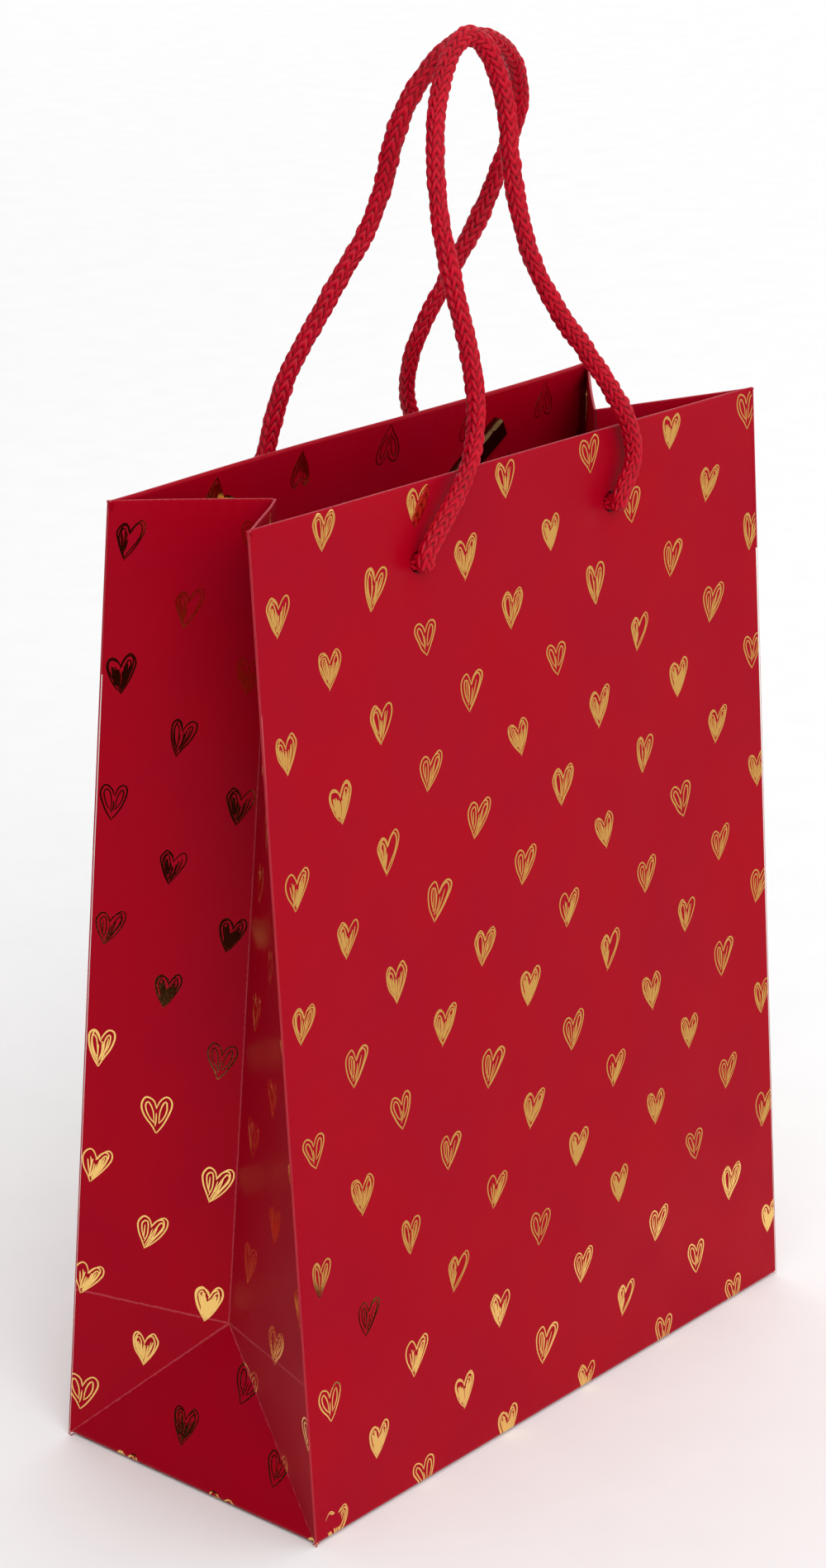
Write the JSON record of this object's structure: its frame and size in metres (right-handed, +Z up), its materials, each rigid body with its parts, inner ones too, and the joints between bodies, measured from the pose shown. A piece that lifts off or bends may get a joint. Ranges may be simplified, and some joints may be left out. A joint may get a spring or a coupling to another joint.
{
  "type": "gift bag",
  "caption": "Laminated paper gift bag with side gussets, foil-stamped hearts, a turned-in hem, a loose base board and knitted cord handles held by metal clips.",
  "frame": {"origin": "middle of the base, on the surface the bag stands on", "axes": "+X to the right of the front panel, +Y to the back panel, +Z up"},
  "size_m": [0.18, 0.0798, 0.3275],
  "materials": {
    "red_paper": "satin laminated",
    "plain_paper": "uncoated",
    "card": "uncoated greyboard",
    "red_cord": "knitted polyester",
    "gold": "polished"
  },
  "bodies": {
    "base": {"bottom_back_flap": "red_paper", "bottom_front_flap": "red_paper", "bottom_left_flap": "red_paper", "bottom_right_flap": "red_paper", "left_side_triangle": "red_paper", "right_side_triangle": "red_paper", "left_front_corner": "red_paper", "left_back_corner": "red_paper", "right_front_corner": "red_paper", "right_back_corner": "red_paper", "left_front_gusset": "red_paper", "left_back_gusset": "red_paper", "right_front_gusset": "red_paper", "right_back_gusset": "red_paper", "left_front_hem": "red_paper", "left_back_hem": "red_paper", "right_front_hem": "red_paper", "right_back_hem": "red_paper"},
    "front_side": {"front_panel": "red_paper", "front_hem": "red_paper", "front_card": "card", "front_left_cord_end": "red_cord", "front_right_cord_end": "red_cord", "front_left_clip": "gold", "front_right_clip": "gold"},
    "back_side": {"back_panel": "red_paper", "back_hem": "red_paper", "back_card": "card", "side_seam_flap": "plain_paper", "back_left_cord_end": "red_cord", "back_right_cord_end": "red_cord", "back_left_clip": "gold", "back_right_clip": "gold"},
    "front_handle": {"front_handle_cord": "red_cord"},
    "back_handle": {"back_handle_cord": "red_cord"},
    "board": {"base_board": "card"}
  },
  "joints": [
    {"name": "front_mouth_crease", "type": "hinge", "parent": "base", "child": "front_side", "pos_m": [0, -0.04, 0], "axis": [1, 0, 0], "range_deg": [0, 3]},
    {"name": "back_mouth_crease", "type": "hinge", "parent": "base", "child": "back_side", "pos_m": [0, 0.04, 0], "axis": [-1, 0, 0], "range_deg": [0, 3]},
    {"name": "front_handle_swing", "type": "hinge", "parent": "front_side", "child": "front_handle", "pos_m": [0, -0.02946, 0.21728], "axis": [1, 0, 0], "range_deg": [0, 180]},
    {"name": "back_handle_swing", "type": "hinge", "parent": "back_side", "child": "back_handle", "pos_m": [0, 0.02686, 0.21714], "axis": [-1, 0, 0], "range_deg": [0, 180]},
    {"name": "board_lift", "type": "slide", "parent": "base", "child": "board", "axis": [0, 0, 1], "range_m": [0, 0.008]}
  ],
  "couplings": [
    {"joint": "back_mouth_crease", "follows": "front_mouth_crease", "ratio": 1}
  ]
}
